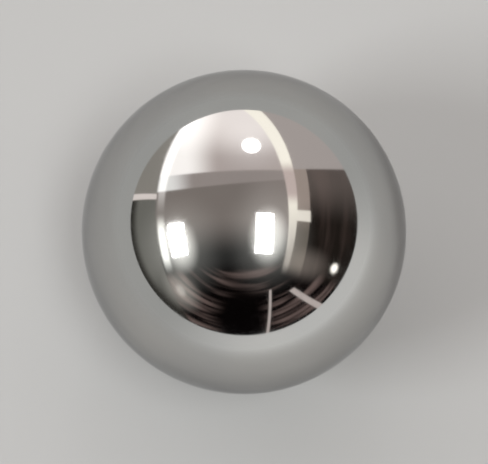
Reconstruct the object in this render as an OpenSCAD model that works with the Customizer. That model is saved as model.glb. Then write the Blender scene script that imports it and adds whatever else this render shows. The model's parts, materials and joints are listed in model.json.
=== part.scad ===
// Solid steel ball: one piece, round to the same diameter whichever way it is measured.
// The origin is the centre of the ball, and +Z is up.
// Lapping leaves no flat, seam or pole on a finished ball, so the whole form is one
// unbroken spherical face, and its diameter is the only size that it has.

/* [Ball] */
// Diameter of the ball in mm; 38.1 is the 1 1/2 inch size
ball_d = 38.1; // [3:0.1:152.4]

/* [Preview] */
// Straight sides round the equator of the preview; the finished surface is a true sphere
preview_sides = 180; // [24:4:360]

/* [Hidden] */

// Dark mirror tone of hardened and lapped chromium steel
steel_color = [0.55, 0.53, 0.52];

module ball() {
  color(steel_color)
    sphere(d = ball_d, $fn = preview_sides);
}

ball();
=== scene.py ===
# %% [markdown]
# # A steel ball, lapped to a mirror
#
# The real thing is one solid ball of hardened chromium steel, 38.1 mm across. It is ground
# and then lapped between two grooved plates until it is round to a fraction of a micron, so
# it has no edge, seam, hole or flat. All that the eye finds on it is a reflection. This
# lesson therefore spends little on shape and most on three other things: a surface that
# mirrors cleanly, a thin film that softens the mirror, and a studio worth reflecting.
#
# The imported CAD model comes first, because it fixes the size and place of everything else.

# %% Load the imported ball
import json
import math

import bpy
import numpy as np
from mathutils import Matrix, Vector


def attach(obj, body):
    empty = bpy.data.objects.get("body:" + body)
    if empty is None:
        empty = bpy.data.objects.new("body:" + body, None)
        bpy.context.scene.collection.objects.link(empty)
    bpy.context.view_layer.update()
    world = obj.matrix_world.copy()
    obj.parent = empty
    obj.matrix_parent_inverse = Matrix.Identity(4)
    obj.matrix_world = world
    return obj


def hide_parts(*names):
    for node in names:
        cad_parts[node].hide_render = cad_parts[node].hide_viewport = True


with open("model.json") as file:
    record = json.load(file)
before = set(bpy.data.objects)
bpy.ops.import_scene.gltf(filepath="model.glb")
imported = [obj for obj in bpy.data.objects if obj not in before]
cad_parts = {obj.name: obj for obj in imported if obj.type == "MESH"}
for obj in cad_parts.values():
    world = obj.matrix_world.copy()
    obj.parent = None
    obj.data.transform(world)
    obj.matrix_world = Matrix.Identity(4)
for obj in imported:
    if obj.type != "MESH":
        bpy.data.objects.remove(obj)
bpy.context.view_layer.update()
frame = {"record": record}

scene = bpy.context.scene
MM = 0.001    # one millimetre, in the scene's metres
TO_RIGHT = Vector((1, 0, 0))
TO_BACK = Vector((0, 1, 0))    # away from the camera
UP = Vector((0, 0, 1))
ball_r = frame["record"]["mounts"][0]["dims"]["r_mm"] * MM
print("ball radius", round(ball_r / MM, 3), "mm")

# %% [markdown]
# ## The camera
#
# The ball is looked down on steeply, from about ten radii away, as by someone who leans over
# a dish of them. The lens then follows from how much of the picture's height the ball should
# fill. A nearer camera would fill the picture too, but it would see less of the ball and
# bend the reflections near its outline.

# %% Aim the camera
PICTURE_W = 488
PICTURE_H = 464
SENSOR_MM = 36.0
VIEW_ELEVATION = math.radians(81)
VIEW_DISTANCE = 10.3 * ball_r
BALL_SHARE = 0.70    # of the picture's height

camera_data = bpy.data.cameras.new("camera")
camera = bpy.data.objects.new("camera", camera_data)
scene.collection.objects.link(camera)
scene.camera = camera

outline_angle = math.asin(ball_r / VIEW_DISTANCE)
focal_px = BALL_SHARE * PICTURE_H / 2 / math.tan(outline_angle)
camera_data.sensor_width = SENSOR_MM
camera_data.lens = SENSOR_MM * focal_px / PICTURE_W
camera_data.clip_start = MM

to_camera = Vector((0, -math.cos(VIEW_ELEVATION), math.sin(VIEW_ELEVATION)))
camera.location = to_camera * VIEW_DISTANCE
camera.rotation_euler = (-to_camera).to_track_quat("-Z", "Y").to_euler()
print("lens", round(camera_data.lens, 1), "mm, camera at", [round(v, 4) for v in camera.location])

# %% [markdown]
# ## Node trees written as sums
#
# The shape, the finish and the studio below are all node trees. They could be wired by hand,
# one node at a time, but that hides the idea behind them. So one small class stands for a
# tree. Its `add` takes a node's type, its settings and what goes into its sockets.

# %% A tree
class Tree:
    """A node tree that is written down one node at a time."""

    def __init__(self, node_tree):
        self.nodes = node_tree.nodes
        self.links = node_tree.links
        self.nodes.clear()

    def add(self, kind, settings=None, inputs=None, output=0):
        """Adds a node. Returns one of its outputs or, where it has none, nothing."""
        node = self.nodes.new(kind)
        for name, value in (settings or {}).items():
            setattr(node, name, value)
        for name, value in (inputs or {}).items():
            if isinstance(value, Wire):
                self.links.new(value.socket, node.inputs[name])
            else:
                node.inputs[name].default_value = value
        return Wire(self, node.outputs[output]) if node.outputs else None

# %% [markdown]
# A second class wraps an output socket and lets Python's own signs add the Math nodes:
# `1 - mask * 0.5` is then a tree of two nodes. Colours and vectors go through Mix and Vector
# Math instead, because a Math node would turn a colour grey.

# %% A wire that can be summed
class Wire:
    """An output socket that Python's own signs can add to, scale and compare."""

    def __init__(self, tree, socket):
        self.tree = tree
        self.socket = socket

    def out(self, name):
        """Another output of the same node."""
        return Wire(self.tree, self.socket.node.outputs[name])

    def math(self, operation, *values):
        return self.tree.add("ShaderNodeMath", {"operation": operation}, dict(enumerate(values)))

    def __add__(self, other):
        return self.math("ADD", self, other)

    def __sub__(self, other):
        return self.math("SUBTRACT", self, other)

    def __rsub__(self, other):
        return self.math("SUBTRACT", other, self)

    def __mul__(self, other):
        return self.math("MULTIPLY", self, other)

    __radd__ = __add__
    __rmul__ = __mul__

    def __abs__(self):
        return self.math("ABSOLUTE", self)

    def root(self):
        return self.math("SQRT", self)

    def vector(self, operation, *others, output="Vector"):
        inputs = dict(enumerate((self, *others)))
        return self.tree.add("ShaderNodeVectorMath", {"operation": operation}, inputs, output)

    def scaled(self, factor):
        inputs = {0: self, "Scale": factor}
        return self.tree.add("ShaderNodeVectorMath", {"operation": "SCALE"}, inputs)

    def dot(self, direction):
        return self.vector("DOT_PRODUCT", tuple(direction), output="Value")

    def step(self, low, high):
        """0 below low, 1 above high, and a smooth slope between them."""
        inputs = {"Value": self, "From Min": low, "From Max": high}
        return self.tree.add("ShaderNodeMapRange", {"interpolation_type": "SMOOTHSTEP"}, inputs)

    def blend(self, below, above, mode="MIX"):
        """The colour that goes from below to above as this wire goes from 0 to 1."""
        settings = {"data_type": "RGBA", "blend_type": mode}
        inputs = {0: self, 6: below, 7: above}    # a Mix node's factor and its two colours
        return self.tree.add("ShaderNodeMix", settings, inputs, output=2)


def rgb(red, green, blue):
    return (red, green, blue, 1.0)

# %% [markdown]
# ## The ball's shape
#
# Grinding turns the real ball about every axis, so it has no pole and no seam. A UV sphere
# has both: its faces gather at two poles, and a mirror shows those thin triangles as a star.
# A subdivided cube has neither, but it comes out only roughly round.
#
# This ball is made from a cube of small squares instead: each point is pushed out along its
# own direction until it lies at the ball's radius. If nothing else were done, a square at a
# corner of the cube would end with a fifth of the area of one in the middle of a side. So
# each coordinate first passes through a tangent, which spaces the squares by equal angles,
# and the smallest then has 0.7 of the area of the largest. The whole shape is one rule with
# two sizes, which is just what Geometry Nodes are for.

# %% Geometry Nodes: a cube swollen into a ball
CUBE_SIZE = (2, 2, 2)      # puts its sides at -1 and 1
HALF_SIDE = math.pi / 4    # the angle that half a side spans, seen from the cube's middle

def ball_tree():
    group = bpy.data.node_groups.new("ball_from_cube", "GeometryNodeTree")
    tree = Tree(group)
    group.interface.new_socket("Radius", in_out="INPUT", socket_type="NodeSocketFloat")
    group.interface.new_socket("Squares", in_out="INPUT", socket_type="NodeSocketInt")
    group.interface.new_socket("Finish", in_out="INPUT", socket_type="NodeSocketMaterial")
    group.interface.new_socket("Ball", in_out="OUTPUT", socket_type="NodeSocketGeometry")
    asked = tree.add("NodeGroupInput")

    points = asked.out("Squares") + 1
    sides = {"Size": CUBE_SIZE, "Vertices X": points, "Vertices Y": points, "Vertices Z": points}
    cube = tree.add("GeometryNodeMeshCube", inputs=sides)
    even = tree.add("GeometryNodeInputPosition").scaled(HALF_SIDE).vector("TANGENT")
    place = even.vector("NORMALIZE").scaled(asked.out("Radius"))

    ball = tree.add("GeometryNodeSetPosition", inputs={"Geometry": cube, "Position": place})
    ball = tree.add("GeometryNodeSetShadeSmooth", inputs={0: ball})
    ball = tree.add("GeometryNodeRealizeInstances", inputs={0: ball})
    ball = tree.add("GeometryNodeSetMaterial", inputs={0: ball, "Material": asked.out("Finish")})
    tree.add("NodeGroupOutput", inputs={"Ball": ball})
    print(group.name, "has", len(tree.nodes), "nodes")
    return group


swollen_cube = ball_tree()

# %% [markdown]
# A modifier's inputs are set by each socket's identifier, which the group's interface gives.
# The evaluated result is copied into a plain mesh of its own. The helper object then goes,
# with its modifier and its bare mesh, because all that follows needs only the result.

# %% From a tree to a plain mesh
def mesh_from(group, name, values):
    bare = bpy.data.meshes.new(name + "_bare")
    helper = bpy.data.objects.new(name + "_helper", bare)
    scene.collection.objects.link(helper)
    nodes = helper.modifiers.new("nodes", "NODES")
    nodes.node_group = group
    for socket in group.interface.items_tree:
        if socket.name in values:
            nodes[socket.identifier] = values[socket.name]
    evaluated = helper.evaluated_get(bpy.context.evaluated_depsgraph_get())
    mesh = bpy.data.meshes.new_from_object(evaluated)
    mesh.name = name
    helper.modifiers.remove(nodes)
    bpy.data.objects.remove(helper)
    bpy.data.meshes.remove(bare)
    return mesh

# %% [markdown]
# ## The finish: a lapped mirror
#
# Lapped bearing steel is bare metal, so Metallic is 1 and the colour is that of its
# reflection: a dark grey, very slightly warm, because such steel gives back only about half
# of the light. What tells a real ball from a perfect mirror is faint, and each such thing
# has its own size in mm:
#
# - the steel's tone drifts a little over centimetres;
# - a haze lies where the last lapping left the surface slightly less smooth;
# - hairline arcs from the lapping plates run round the axes that the ball turned on;
# - a thin film of storage oil, wiped unevenly, puts a soft glow round each lamp.
#
# The first three change the metal's own colour and roughness. The film is Principled's coat,
# a second and much weaker mirror on top of the first. No bump is used, because the marks
# are far too shallow to bend a reflection.
#
# All of them are made from noise, in two kinds: round spots, and spots that are squeezed
# along an axis until they are streaks.

# %% Noise with a size
PLAIN_DETAIL = 2.0    # how many finer layers of spots the noise adds to its first one

def noise(place, size, detail=PLAIN_DETAIL):
    """Soft random spots about that size across, in the place's own unit, round a mean of 0.5."""
    inputs = {"Vector": place, "Scale": 1 / size, "Detail": detail}
    return place.tree.add("ShaderNodeTexNoise", {"noise_dimensions": "3D"}, inputs)


def squeezed(place, axis, ratio):
    """A place whose part along axis has become ratio times as long."""
    extra = place.dot(axis) * (ratio - 1)
    parts = {index: extra * part for index, part in enumerate(axis)}
    return place.vector("ADD", place.tree.add("ShaderNodeCombineXYZ", inputs=parts))

# %% [markdown]
# While a ball is lapped it turns about one axis for a while, then tips over and turns about
# another. Each spell leaves arcs round its own axis. Drawn one by one they would be a long
# list of curves. Noise that is squeezed along the axis gives them all at once: it changes
# quickly along the axis and slowly round it, so its spots become arcs. Near the two ends of
# the axis the arcs would widen into patches, so they fade out.

# %% Arcs round an axis
ARC_AXES = [(0.62, 0.35, 0.70), (-0.48, 0.80, 0.36), (0.25, -0.55, 0.80), (0.86, 0.45, -0.24)]
ARC_MM = 12.0                # how long an arc is
ARC_RATIO = 90.0             # its length over its width
ARC_DETAIL = 1.0
ARC_LEVELS = (0.62, 0.68)    # the noise at which an arc begins, and at which it is full
ARC_ENDS = (0.70, 0.95)      # the share of the way to an axis's end over which it fades

def arcs_round(place, axis):
    axis = Vector(axis).normalized()
    streaks = noise(squeezed(place, axis, ARC_RATIO), ARC_MM, ARC_DETAIL)
    end = abs(place.dot(axis * (MM / ball_r)))
    return streaks.step(*ARC_LEVELS) * (1 - end.step(*ARC_ENDS))

# %% [markdown]
# The layers then add up to one roughness. It is low enough for sharp window edges and high
# enough that a bright lamp has a soft rim.
#
# Two values deserve a word. On a metal, Specular Tint scales the mirror at grazing angles,
# where iron gives back less than the usual formula says. It makes the ball a little darker
# towards its outline. The film's index of 1.5 is about that of oil, and even an unbroken
# film of it would mirror only a twenty-fifth of the light, against the metal's half.

# %% The steel
TONE_WARM = rgb(0.518, 0.513, 0.497)
TONE_COOL = rgb(0.489, 0.488, 0.478)
TONE_MM = 16.0
TONE_LEVELS = (0.35, 0.65)
EDGE_TONE = rgb(0.60, 0.60, 0.61)
SMOOTHEST = 0.045            # the roughness where there is neither haze nor an arc
HAZE = 0.035                 # what a full haze adds to it
HAZE_MM = 5.0
HAZE_DETAIL = 4.0
HAZE_LEVELS = (0.40, 0.75)
ARC_DEPTH = 0.022            # what a full arc adds to it
FILM_THIN = 0.03
FILM_MORE = 0.24             # what the thickest film adds to the thinnest
FILM_MM = 11.0
FILM_DETAIL = 3.0
FILM_LEVELS = (0.30, 0.70)
FILM_ROUGHNESS = 0.20
FILM_INDEX = 1.5
WIPED_ROUND = (0.3, 0.2, 0.93)    # the cloth went round this axis
WIPED_RATIO = 4.0

def lapped_steel():
    material = bpy.data.materials.new("lapped_mirror_steel")
    material.use_nodes = True
    tree = Tree(material.node_tree)
    place = tree.add("ShaderNodeTexCoord", output="Object").scaled(1 / MM)

    tone = noise(place, TONE_MM).step(*TONE_LEVELS).blend(TONE_COOL, TONE_WARM)
    haze = noise(place, HAZE_MM, HAZE_DETAIL).step(*HAZE_LEVELS)
    arcs = 0
    for axis in ARC_AXES:
        arcs = arcs_round(place, axis) + arcs
    wiped = squeezed(place, Vector(WIPED_ROUND).normalized(), WIPED_RATIO)
    film = noise(wiped, FILM_MM, FILM_DETAIL).step(*FILM_LEVELS)

    steel = {
        "Base Color": tone,
        "Metallic": 1.0,
        "Roughness": haze * HAZE + arcs * ARC_DEPTH + SMOOTHEST,
        "Specular Tint": EDGE_TONE,
        "Coat Weight": film * FILM_MORE + FILM_THIN,
        "Coat Roughness": FILM_ROUGHNESS,
        "Coat IOR": FILM_INDEX,
    }
    surface = tree.add("ShaderNodeBsdfPrincipled", inputs=steel)
    tree.add("ShaderNodeOutputMaterial", inputs={"Surface": surface})
    print(material.name, "has", len(tree.nodes), "nodes")
    return material


finish = lapped_steel()

# %% [markdown]
# ## The ball itself
#
# With the tree and the finish ready, the ball is one call. 96 squares to a side make about
# 110,000 triangles, each under half a millimetre, so that neither the outline nor a straight
# line seen in the mirror shows a corner. An even number also puts a point at the very
# bottom, where the ball meets what it lies on.

# %% Make the ball
SQUARES = 96

sizes = {"Radius": ball_r, "Squares": SQUARES, "Finish": finish}
ball_mesh = mesh_from(swollen_cube, "lapped_ball", sizes)
ball = bpy.data.objects.new("lapped_ball", ball_mesh)
scene.collection.objects.link(ball)

points = np.empty((len(ball_mesh.vertices), 3), np.float32)
ball_mesh.vertices.foreach_get("co", points.ravel())
reach = np.linalg.norm(points, axis=1)
print(f"{len(points)} points, radius {reach.min() / MM:.5f} to {reach.max() / MM:.5f} mm")

# %% [markdown]
# ## A map for other programs
#
# A program that can't read these nodes needs them baked into an image, which needs a flat map
# of the ball. Like a map of the world, it has to be cut somewhere, and a map with poles
# wastes most of its area on them. The cube gives a better one for free: its six sides, laid
# out three by two. On each side a point's two angles from the middle are its two
# coordinates, so the map is as even as the squares are.

# %% Lay the six sides out flat
COLUMNS = 3
ROWS = 2
GAP = 0.01             # left free round each side, as a share of its cell
CELL_MIDDLE = 0.5

corner_points = np.empty(len(ball_mesh.loops), np.int32)
ball_mesh.loops.foreach_get("vertex_index", corner_points)
corners = points[corner_points].reshape(-1, 4, 3)    # every face has four corners
middles = corners.mean(axis=1)
across = np.abs(middles).argmax(axis=1)              # the axis that each face looks along
each = np.arange(len(middles))
forward = middles[each, across] > 0
side = across * 2 + forward

depth = corners[each, :, across]
first = corners[each, :, (across + 1) % 3] / np.abs(depth)
second = corners[each, :, (across + 2) % 3] / depth
angles = np.arctan(np.stack([first, second], axis=-1)) / HALF_SIDE
cell = np.stack([side % COLUMNS, side // COLUMNS], axis=-1)[:, None, :]
flat = (cell + CELL_MIDDLE + angles * (CELL_MIDDLE - GAP)) / (COLUMNS, ROWS)
layer = ball_mesh.uv_layers.new(name="OFBake")
layer.data.foreach_set("uv", flat.astype(np.float32).ravel())
print("map fills", np.round(flat.min(axis=(0, 1)), 3), "to", np.round(flat.max(axis=(0, 1)), 3))

# %% [markdown]
# Two tests follow, because a mirror forgives nothing. The mesh must be closed, with each edge
# between exactly two faces, and the normals that Blender works out for smooth shading must
# point straight out from the centre.

# %% Measure the ball
edge_use = np.zeros(len(ball_mesh.edges), np.int32)
corner_edges = np.empty(len(ball_mesh.loops), np.int32)
ball_mesh.loops.foreach_get("edge_index", corner_edges)
np.add.at(edge_use, corner_edges, 1)
normals = np.empty((len(points), 3), np.float32)
ball_mesh.vertex_normals.foreach_get("vector", normals.ravel())
tilt = np.degrees(np.arccos(np.clip((normals * points).sum(axis=1) / reach, -1, 1))).max()
print(f"{(edge_use != 2).sum()} open edges, and the worst normal is off by {tilt:.3f} degrees")

# %% [markdown]
# ## The backdrop and the floor
#
# The ball's outer ring mirrors what lies low round it: the floor and, beyond that, a pale
# backdrop. One flat colour would do for the backdrop, but then the ring would be as bright on
# one side as on the other, which it seldom is in a real room. So the backdrop is lit best to
# the right of the camera, and the ring is brighter there too.

# %% A backdrop with a brighter side
BACKDROP = rgb(0.590, 0.592, 0.580)
BACKDROP_LIT = rgb(0.900, 0.902, 0.890)
LIT_SIDE = (0.60, -0.80, 0.0)
LIT_TURN = (0.10, 1.00)    # from where, towards that side, the light begins and is full

def backdrop(look):
    """The backdrop's colour in a direction."""
    return look.dot(LIT_SIDE).step(*LIT_TURN).blend(BACKDROP, BACKDROP_LIT)

# %% [markdown]
# The ball lies on a plain pale floor. Lamps at a human distance light it unevenly, so near a
# low horizon it would end in a line against the backdrop. A studio hides that line with a
# curved sweep of paper. Here the floor's far part is painted light instead: away from the
# ball it takes no lamp light and glows in the backdrop's own colour, brighter on its lit side,
# so that it fades into the backdrop from every side. It is so wide that its far edge can't be
# told from the horizon.

# %% A pale floor that fades into the backdrop
FLOOR_R = 20.0
FLOOR_CORNERS = 96
FLOOR_PALE = rgb(0.512, 0.522, 0.521)
FADE = (0.03, 0.25)    # the distances from the ball between which the floor fades

def floor_paper_with_painted_glow():
    material = bpy.data.materials.new("floor_paper_with_painted_glow")
    material.use_nodes = True
    tree = Tree(material.node_tree)
    place = tree.add("ShaderNodeTexCoord", output="Object")
    away = place.vector("LENGTH", output="Value").step(*FADE)
    paper = tree.add("ShaderNodeBsdfDiffuse", inputs={"Color": FLOOR_PALE})
    # painted light: the floor's far part glows in the backdrop's colour, brighter on its lit side
    glow = tree.add("ShaderNodeEmission", inputs={"Color": backdrop(place.vector("NORMALIZE"))})
    surface = tree.add("ShaderNodeMixShader", inputs={0: away, 1: paper, 2: glow})
    tree.add("ShaderNodeOutputMaterial", inputs={"Surface": surface})
    return material


floor_mesh = bpy.data.meshes.new("floor")
turns = [2 * math.pi * corner / FLOOR_CORNERS for corner in range(FLOOR_CORNERS)]
rim = [(FLOOR_R * math.cos(turn), FLOOR_R * math.sin(turn), -ball_r) for turn in turns]
floor_mesh.from_pydata(rim, [], [range(FLOOR_CORNERS)])
floor_mesh.materials.append(floor_paper_with_painted_glow())
floor = bpy.data.objects.new("floor", floor_mesh)
scene.collection.objects.link(floor)
print("floor at", round(-ball_r / MM, 2), "mm")

# %% [markdown]
# ## The lamps
#
# Two tall soft boxes do the lighting, with a small lamp behind. Each is placed by its
# direction from the ball and sized by the angles that it should span there, so that its
# distance only sets how fast the light falls off across the floor. X is to the right, Y is
# away from the camera and Z is up.
#
# An area lamp's brightness is its power over its area and pi. The brightness is the number
# worth choosing, because it is what the mirror shows, so the power is worked out from it.

# %% How a lamp is placed and sized
LAMP_DISTANCE = 2.0

def axes_towards(direction):
    """Right, upright and away, for something that stands in a direction and faces the ball."""
    away = Vector(direction).normalized()
    upright = (TO_BACK - away * away.dot(TO_BACK)).normalized()
    return upright.cross(away), upright, away


def area_lamp(name, direction, wide, tall, glow, shape="RECTANGLE"):
    """A lamp that spans wide by tall degrees, seen from the ball."""
    lamp_data = bpy.data.lights.new(name, "AREA")
    lamp_data.shape = shape
    lamp_data.size = 2 * LAMP_DISTANCE * math.tan(math.radians(wide / 2))
    lamp_data.size_y = 2 * LAMP_DISTANCE * math.tan(math.radians(tall / 2))
    area = lamp_data.size * lamp_data.size_y
    if shape == "ELLIPSE":
        area *= math.pi / 4
    lamp_data.energy = glow * area * math.pi
    lamp = bpy.data.objects.new(name, lamp_data)
    scene.collection.objects.link(lamp)
    right, upright, away = axes_towards(direction)
    turned = Matrix((right, upright, away)).transposed().to_4x4()
    lamp.matrix_world = Matrix.Translation(away * LAMP_DISTANCE) @ turned
    print(name, "has", round(lamp_data.energy, 1), "W over", round(area, 3), "square metres")

# %% [markdown]
# The two boxes are what makes the ball shine. They could be painted in the world shader like
# the rest of the studio, but Blender aims light rays straight at a lamp, which gives the
# floor a clean light and the ball a soft shadow. All three lamps are brighter than white, as
# real ones are. The left box is the strongest, so that the shadow falls to the right.

# %% Two soft boxes and a back lamp
LEFT_BOX = {"direction": (-0.722, -0.193, 0.664), "wide": 11.5, "tall": 20, "glow": 16}
RIGHT_BOX = {"direction": (0.241, -0.166, 0.956), "wide": 12.0, "tall": 27, "glow": 8}
BACK_LAMP = {"direction": (0.074, 0.791, 0.608), "wide": 11, "tall": 12, "glow": 3}
area_lamp("left_box", **LEFT_BOX)
area_lamp("right_box", **RIGHT_BOX)
area_lamp("back_lamp", **BACK_LAMP, shape="ELLIPSE")

# %% [markdown]
# ## The studio
#
# A mirror looks like what stands round it. In an even white tent a steel ball turns into a
# flat grey disc, so it needs dark areas as much as pale ones, with some clean edges between
# them. A real room round the ball would need walls, cloths and lamps of its own. The world
# shader draws one straight from the direction that is looked in, with no model at all. It
# starts empty, and the next cells lay one part of the room after another over it.

# %% An empty world
world = bpy.data.worlds.new("studio")
world.use_nodes = True
scene.world = world
studio = Tree(world.node_tree)
look = studio.add("ShaderNodeTexCoord", output="Generated")    # the direction looked in
print(world.name, "starts with", len(studio.nodes), "node")

# %% [markdown]
# A plane cuts all the directions in two, which gives a wall or a cloth its edge. Two planes
# close together leave a thin strip. A direction's height and bearing could be compared
# instead, but near the zenith a bearing jumps about. One dot product with the plane's normal
# tells on which side a direction lies, wherever that is.

# %% Planes and strips
WALL_EDGE = 0.012     # how far the edge of a wall or a cloth spreads to each side
STRIP_EDGE = 0.008    # the same for a strip

def beyond(look, side, soft=WALL_EDGE):
    """1 where a direction lies beyond a plane, whose side is its normal and its distance."""
    *normal, reach = side
    return look.dot(normal).step(reach - soft, reach + soft)


def strip(look, side, width, soft=STRIP_EDGE):
    """1 within a narrow band that starts at a plane."""
    *normal, reach = side
    far_side = (*normal, reach + width)
    return beyond(look, side, soft) * (1 - beyond(look, far_side, soft))


def towards_camera(look, fade):
    """0 at the back of the room and 1 at the camera's end, with a slope between."""
    return look.dot(-TO_BACK).step(*fade)

# %% [markdown]
# A patch is a small rectangle round a direction, and a pool is a soft oval of light round
# one. Four planes could outline the first, but nothing straight makes the second. So both
# first ask how far a direction is off the middle, sideways and upwards, and then cut off what
# lies too far out.

# %% Patches and pools
AHEAD = (0.0, 0.3)         # cuts off the twin that lies in the opposite direction
PATCH_EDGE = (0.9, 1.1)
POOL_CORE = 0.3            # the share of a pool that has its full light
WIDE_CORE = 0.1            # the same for a pool that fades nearly from its middle

def offsets(look, direction, wide, tall):
    """How far off a direction is, sideways and upwards: 1 at the edge of wide by tall degrees."""
    right, upright, away = axes_towards(direction)
    sideways = look.dot(right / math.sin(math.radians(wide / 2)))
    upwards = look.dot(upright / math.sin(math.radians(tall / 2)))
    return sideways, upwards, look.dot(away).step(*AHEAD)


def patch(look, direction, wide, tall):
    """A small rectangle with slightly soft edges."""
    sideways, upwards, ahead = offsets(look, direction, wide, tall)
    inside = (1 - abs(sideways).step(*PATCH_EDGE)) * (1 - abs(upwards).step(*PATCH_EDGE))
    return inside * ahead


def pool(look, direction, wide, tall, core=POOL_CORE):
    """A soft oval of light: 1 in its core, and 0 from the edge of wide by tall degrees."""
    sideways, upwards, ahead = offsets(look, direction, wide, tall)
    out = (sideways * sideways + upwards * upwards).root()
    return (1 - out.step(core, 1.0)) * ahead


def lit_by(mask, light, colour):
    """A colour with some light added where the mask is."""
    return mask.blend(colour, light, "ADD")

# %% [markdown]
# The room is plain. A pale wall stands behind, with a painted rail along its top, and a
# window off to the left lights the left part of both. The wall is brighter than the rail, and
# brighter again low down. It could be one flat colour, but then the ball would show a cut-out
# shape there: the light that falls off across it is what makes it a wall.

# %% Wall and rail
WALL_SIDE = (-0.029, 0.991, -0.129, 0.443)
RAIL_SIDE = (-0.086, 0.996, -0.037, 0.384)
WALL = rgb(0.79, 0.69, 0.665)
RAIL = rgb(0.525, 0.459, 0.440)
LOW_LIGHT = rgb(0.80, 0.78, 0.78)
LOW_PART = (0.66, 0.98)    # how straight back this light starts and is full
WINDOW_LIGHT = rgb(1.10, 1.13, 1.13)
RAIL_LIGHT = rgb(0.88, 0.93, 0.94)
TO_WINDOW = (-0.952, -0.148, -0.269)
WINDOW_ON_WALL = (-0.05, 0.34)    # how far that way its light starts and is full
WINDOW_ON_RAIL = (0.24, 0.52)
BACK_LIGHT = rgb(0.22, 0.22, 0.22)
BACK_POOL = {"direction": BACK_LAMP["direction"], "wide": 50, "tall": 50, "core": WIDE_CORE}

def by_window(look, reach):
    """1 near the window, at the left end of the wall and the rail."""
    return look.dot(TO_WINDOW).step(*reach)


def back_wall(look):
    wall = lit_by(look.dot(TO_BACK).step(*LOW_PART), LOW_LIGHT, WALL)
    wall = lit_by(by_window(look, WINDOW_ON_WALL), WINDOW_LIGHT, wall)
    return lit_by(pool(look, **BACK_POOL), BACK_LIGHT, wall)


def painted_rail(look):
    return lit_by(by_window(look, WINDOW_ON_RAIL), RAIL_LIGHT, RAIL)

# %% [markdown]
# From the rail a dim ceiling comes forward. It fills the middle of the ball, where one flat
# grey would look like paint. So it has two slopes: it grows darker on its way to the camera,
# and it is a little paler on the right.

# %% Ceiling
CEILING = rgb(0.343, 0.299, 0.278)
CEILING_RIGHT = rgb(0.420, 0.366, 0.345)
CEILING_TURN = (-0.10, 0.30)
CEILING_DARK = rgb(0.014, 0.014, 0.014)
CEILING_FADE = (-0.05, 0.42)

def middle(look):
    ceiling = look.dot(TO_RIGHT).step(*CEILING_TURN).blend(CEILING, CEILING_RIGHT)
    colour = towards_camera(look, CEILING_FADE).blend(ceiling, CEILING_DARK)
    colour = beyond(look, RAIL_SIDE).blend(colour, painted_rail(look))
    return beyond(look, WALL_SIDE).blend(colour, back_wall(look))


room = middle(look)
print("with wall, rail and ceiling:", len(studio.nodes), "nodes")

# %% [markdown]
# The right side of the room is dark cloth, drawn tight. In a mirror one flat dark colour
# looks like a hole, so the cloth is paler at the back, and faint folds run along it. Each
# fold could be a strip. Noise that is squeezed across the folds gives them all at once, and
# no two alike.

# %% The cloth
CLOTH_START = (0.810, -0.032, -0.586, 0.169)
CLOTH = rgb(0.178, 0.145, 0.133)
CLOTH_NEAR = rgb(0.022, 0.017, 0.014)
CLOTH_FADE = (-0.45, 0.02)
CLOTH_FOLD = rgb(0.034, 0.023, 0.021)
CLOTH_RATIO = 9.0
CLOTH_LEVELS = (0.40, 0.68)
FOLD = 0.9    # how long a fold is, where the whole room has a radius of 1

def folded_cloth(look):
    cloth = towards_camera(look, CLOTH_FADE).blend(CLOTH, CLOTH_NEAR)
    *across_folds, _ = CLOTH_START
    folds = noise(squeezed(look, across_folds, CLOTH_RATIO), FOLD)
    return lit_by(folds.step(*CLOTH_LEVELS), CLOTH_FOLD, cloth)

# %% [markdown]
# Over the cloth a bright beam runs along the ceiling's right edge, from the back wall towards
# the camera. It is dimmer where the rail meets it. Its underside is dull, with a bracket
# across it. Such straight edges are what tells a smooth ball from a slightly uneven one, on
# which each of them would waver. A strip would give the beam's side two parallel edges. Here
# each edge is a plane of its own, so that the side can be wider in one place than in another.

# %% The beam
BEAM_START = (0.837, 0.011, -0.546, -0.045)    # the beam begins, with its bright side
BEAM_CORNER = (0.810, -0.050, -0.584, 0.010)   # the side ends and the underside begins
CLOTH_END = (-0.076, 0.991, -0.115, 0.441)     # the cloth ends and the far wall begins
BEAM = rgb(1.82, 1.73, 1.56)
BEAM_NEAR = rgb(0.56, 0.505, 0.46)
BEAM_FADE = (-0.50, 0.70)
BEAM_DIM = rgb(0.95, 0.79, 0.75)
BEAM_DIM_START = (0.15, 0.32)
BEAM_DIM_END = (0.52, 0.66)
UNDERSIDE = rgb(0.575, 0.476, 0.43)
UNDERSIDE_NEAR = rgb(0.225, 0.196, 0.167)
UNDERSIDE_FADE = (-0.25, 0.15)
BRACKET_PLACE = {"direction": (0.645, 0.061, 0.762), "wide": 12, "tall": 7}
BRACKET = rgb(1.42, 1.34, 1.22)
FAR_WALL = rgb(0.68, 0.61, 0.59)

def bright_side(look):
    side = towards_camera(look, BEAM_FADE).blend(BEAM, BEAM_NEAR)
    back = look.dot(TO_BACK)
    dim = back.step(*BEAM_DIM_START) * (1 - back.step(*BEAM_DIM_END))
    return dim.blend(side, BEAM_DIM)


def right_side(look, colour):
    underside = towards_camera(look, UNDERSIDE_FADE).blend(UNDERSIDE, UNDERSIDE_NEAR)
    part = beyond(look, CLOTH_START, STRIP_EDGE).blend(underside, folded_cloth(look))
    part = patch(look, **BRACKET_PLACE).blend(part, BRACKET)
    part = beyond(look, CLOTH_END).blend(part, FAR_WALL)
    part = beyond(look, BEAM_CORNER, STRIP_EDGE).blend(bright_side(look), part)
    return beyond(look, BEAM_START, STRIP_EDGE).blend(colour, part)


room = right_side(look, room)
print("with the beam and the cloth:", len(studio.nodes), "nodes")

# %% [markdown]
# The ceiling and the beam both end at a dark curtain behind the camera, which is drawn up in
# level folds. They could be a dozen strips, but noise that is squeezed from top to bottom
# makes them uneven, as cloth is. Right behind the camera the curtain lies in shadow, and no
# fold shows.

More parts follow.
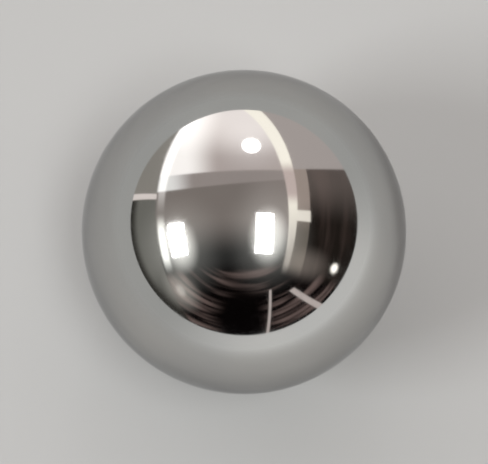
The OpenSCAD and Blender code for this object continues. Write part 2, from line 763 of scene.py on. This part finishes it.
# %% The curtain
CURTAIN = rgb(0.235, 0.168, 0.155)
CURTAIN_DARK = rgb(0.003, 0.002, 0.002)
CURTAIN_START = (0.46, 0.60)
CURTAIN_RATIO = 14.0
CURTAIN_LEVELS = (0.42, 0.66)
SHADOW = {"direction": (-0.02, -0.95, 0.31), "wide": 50, "tall": 84, "core": 0.4}

def curtain(look, colour):
    folds = noise(squeezed(look, UP, CURTAIN_RATIO), FOLD).step(*CURTAIN_LEVELS)
    folds *= 1 - pool(look, **SHADOW)
    cloth = folds.blend(CURTAIN_DARK, CURTAIN)
    return towards_camera(look, CURTAIN_START).blend(colour, cloth)


room = curtain(look, room)
print("with the curtain:", len(studio.nodes), "nodes")

# %% [markdown]
# A grey screen stands to the left. It is paler behind the bright bar that crosses it from
# top to bottom, and its foot is dark, where little light gets down to it. That foot matters:
# it gives the mirrored room a dark edge on that side.

# %% The screen
SCREEN_SIDE = (-0.696, -0.015, -0.718, 0.289)
SCREEN = rgb(0.255, 0.251, 0.229)
SCREEN_NEAR = rgb(0.045, 0.040, 0.034)
SCREEN_FADE = (0.38, 0.85)
SCREEN_FOOT = rgb(0.045, 0.042, 0.036)
FOOT = (math.sin(math.radians(6)), math.sin(math.radians(13)))    # its height above the floor
BAR_SIDE = (0.260, 0.963, -0.065, -0.004)
BAR_WIDE = 0.055
SCREEN_BACK = rgb(0.43, 0.405, 0.37)
BAR = rgb(1.25, 1.14, 1.10)

def height(look, limits):
    """0 below and 1 above a height, between whose two limits it slopes."""
    return look.dot(UP).step(*limits)


def screen(look, colour):
    sheet = towards_camera(look, SCREEN_FADE).blend(SCREEN, SCREEN_NEAR)
    sheet = height(look, FOOT).blend(SCREEN_FOOT, sheet)
    sheet = beyond(look, BAR_SIDE).blend(sheet, SCREEN_BACK)
    sheet = strip(look, BAR_SIDE, BAR_WIDE).blend(sheet, BAR)
    return beyond(look, SCREEN_SIDE).blend(colour, sheet)


room = screen(look, room)
print("with the screen:", len(studio.nodes), "nodes")

# %% [markdown]
# Light is added on top of all that. A soft box lights the matt ceiling round it, and that
# glow falls off twice over: fast close to the box and slowly further out. One pool would look
# like a blurred disc, so each box has two, a narrow strong one in a wide weak one. Both lie a
# little nearer the camera than the box does. A pale edge runs along the top of the screen.
# The left box picks out the part beside it, and the window lights the part further back.

# %% The glow round the soft boxes
WIDE_LIGHT = rgb(0.235, 0.235, 0.225)
NARROW_LIGHT = rgb(1.15, 1.15, 1.10)
LEFT_GLOW = {"direction": (-0.701, -0.259, 0.664), "wide_size": (80, 78), "narrow_size": (30, 40)}
RIGHT_GLOW = {"direction": (0.290, -0.203, 0.935), "wide_size": (72, 88), "narrow_size": (32, 47)}
EDGE_LIGHT = rgb(2.30, 2.34, 2.24)
EDGE_POOL = {"direction": (-0.846, -0.205, 0.492), "wide": 30, "tall": 38}
EDGE_BACK_LIGHT = rgb(1.00, 0.98, 0.97)
EDGE_BACK_PART = (0.05, 0.50)
EDGE_WIDE = 0.11
EDGE_SOFT = 0.02

def box_glow(look, colour, direction, wide_size, narrow_size):
    colour = lit_by(pool(look, direction, *wide_size, WIDE_CORE), WIDE_LIGHT, colour)
    return lit_by(pool(look, direction, *narrow_size), NARROW_LIGHT, colour)


def screen_edge(look, colour):
    *normal, reach = SCREEN_SIDE
    edge = strip(look, (*normal, reach - EDGE_WIDE), EDGE_WIDE - EDGE_SOFT, EDGE_SOFT)
    further_back = look.dot(TO_BACK).step(*EDGE_BACK_PART)
    colour = lit_by(edge * further_back, EDGE_BACK_LIGHT, colour)
    return lit_by(edge * pool(look, **EDGE_POOL), EDGE_LIGHT, colour)


room = box_glow(look, room, **LEFT_GLOW)
room = box_glow(look, room, **RIGHT_GLOW)
room = screen_edge(look, room)
print("with the glow of the boxes:", len(studio.nodes), "nodes")

# %% [markdown]
# A warm lamp and a dim one stand far off, each with a glow of its own. The warm one's falls
# on the cloth and the beam beside it. The camera's stand shows as two thin legs. They are
# the smallest things in the room, and they give the eye the scale of the rest.

# %% Far lamps and the camera's stand
DIM_LAMP = {"direction": (-0.645, -0.664, 0.380), "wide": 8, "tall": 11}
DIM_LIGHT = rgb(0.36, 0.35, 0.33)
DIM_POOL = {"direction": DIM_LAMP["direction"], "wide": 30, "tall": 36, "core": WIDE_CORE}
DIM_GLOW = rgb(0.40, 0.39, 0.36)
WARM_LAMP = {"direction": (0.874, -0.402, 0.274), "wide": 8, "tall": 8}
WARM_LIGHT = rgb(2.8, 2.7, 2.5)
WARM_POOL = {"direction": (0.672, -0.447, 0.591), "wide": 44, "tall": 28, "core": WIDE_CORE}
WARM_GLOW = rgb(0.20, 0.172, 0.156)
STAND = rgb(0.85, 0.75, 0.72)
STAND_LEGS = [
    {"side": (0.957, 0.197, -0.212, -0.014), "width": 0.028, "top": 0.60},
    {"side": (0.664, 0.691, 0.285, -0.030), "width": 0.062, "top": 0.50},
]
LEG_EDGE = 0.006
LEG_END = 0.02
LEG_FADE = (0.20, 0.30)

def far_lamps(look, colour):
    colour = lit_by(pool(look, **DIM_POOL), DIM_GLOW, colour)
    colour = lit_by(pool(look, **DIM_LAMP), DIM_LIGHT, colour)
    colour = lit_by(pool(look, **WARM_POOL), WARM_GLOW, colour)
    return lit_by(pool(look, **WARM_LAMP), WARM_LIGHT, colour)


def stand(look, colour):
    for leg in STAND_LEGS:
        below_top = 1 - height(look, (leg["top"], leg["top"] + LEG_END))
        shows = strip(look, leg["side"], leg["width"], LEG_EDGE) * below_top
        colour = (shows * towards_camera(look, LEG_FADE)).blend(colour, STAND)
    return colour


room = stand(look, far_lamps(look, room))
print("with the far lamps and the stand:", len(studio.nodes), "nodes")

# %% [markdown]
# Last comes the backdrop. Below a few degrees it takes the place of the whole room, so that a
# camera that looks along the floor sees only floor and backdrop behind the ball. The lamps
# and this room each give the floor about half of its light, so that a colour shows about as
# it is written.

# %% The finished world
HORIZON = (math.sin(math.radians(5.0)), math.sin(math.radians(5.6)))

seen = height(look, HORIZON).blend(backdrop(look), room)
sky = studio.add("ShaderNodeBackground", inputs={"Color": seen})
studio.add("ShaderNodeOutputWorld", inputs={"Surface": sky})
print("the finished studio has", len(studio.nodes), "nodes")

# %% [markdown]
# ## Hand over
#
# The colours above were chosen as they should show, so the view transform is Standard. The
# ball rides on the part's only body and stands for its CAD node, which is hidden.

# %% Finish
scene.view_settings.view_transform = "Standard"
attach(ball, "root")
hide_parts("ball")
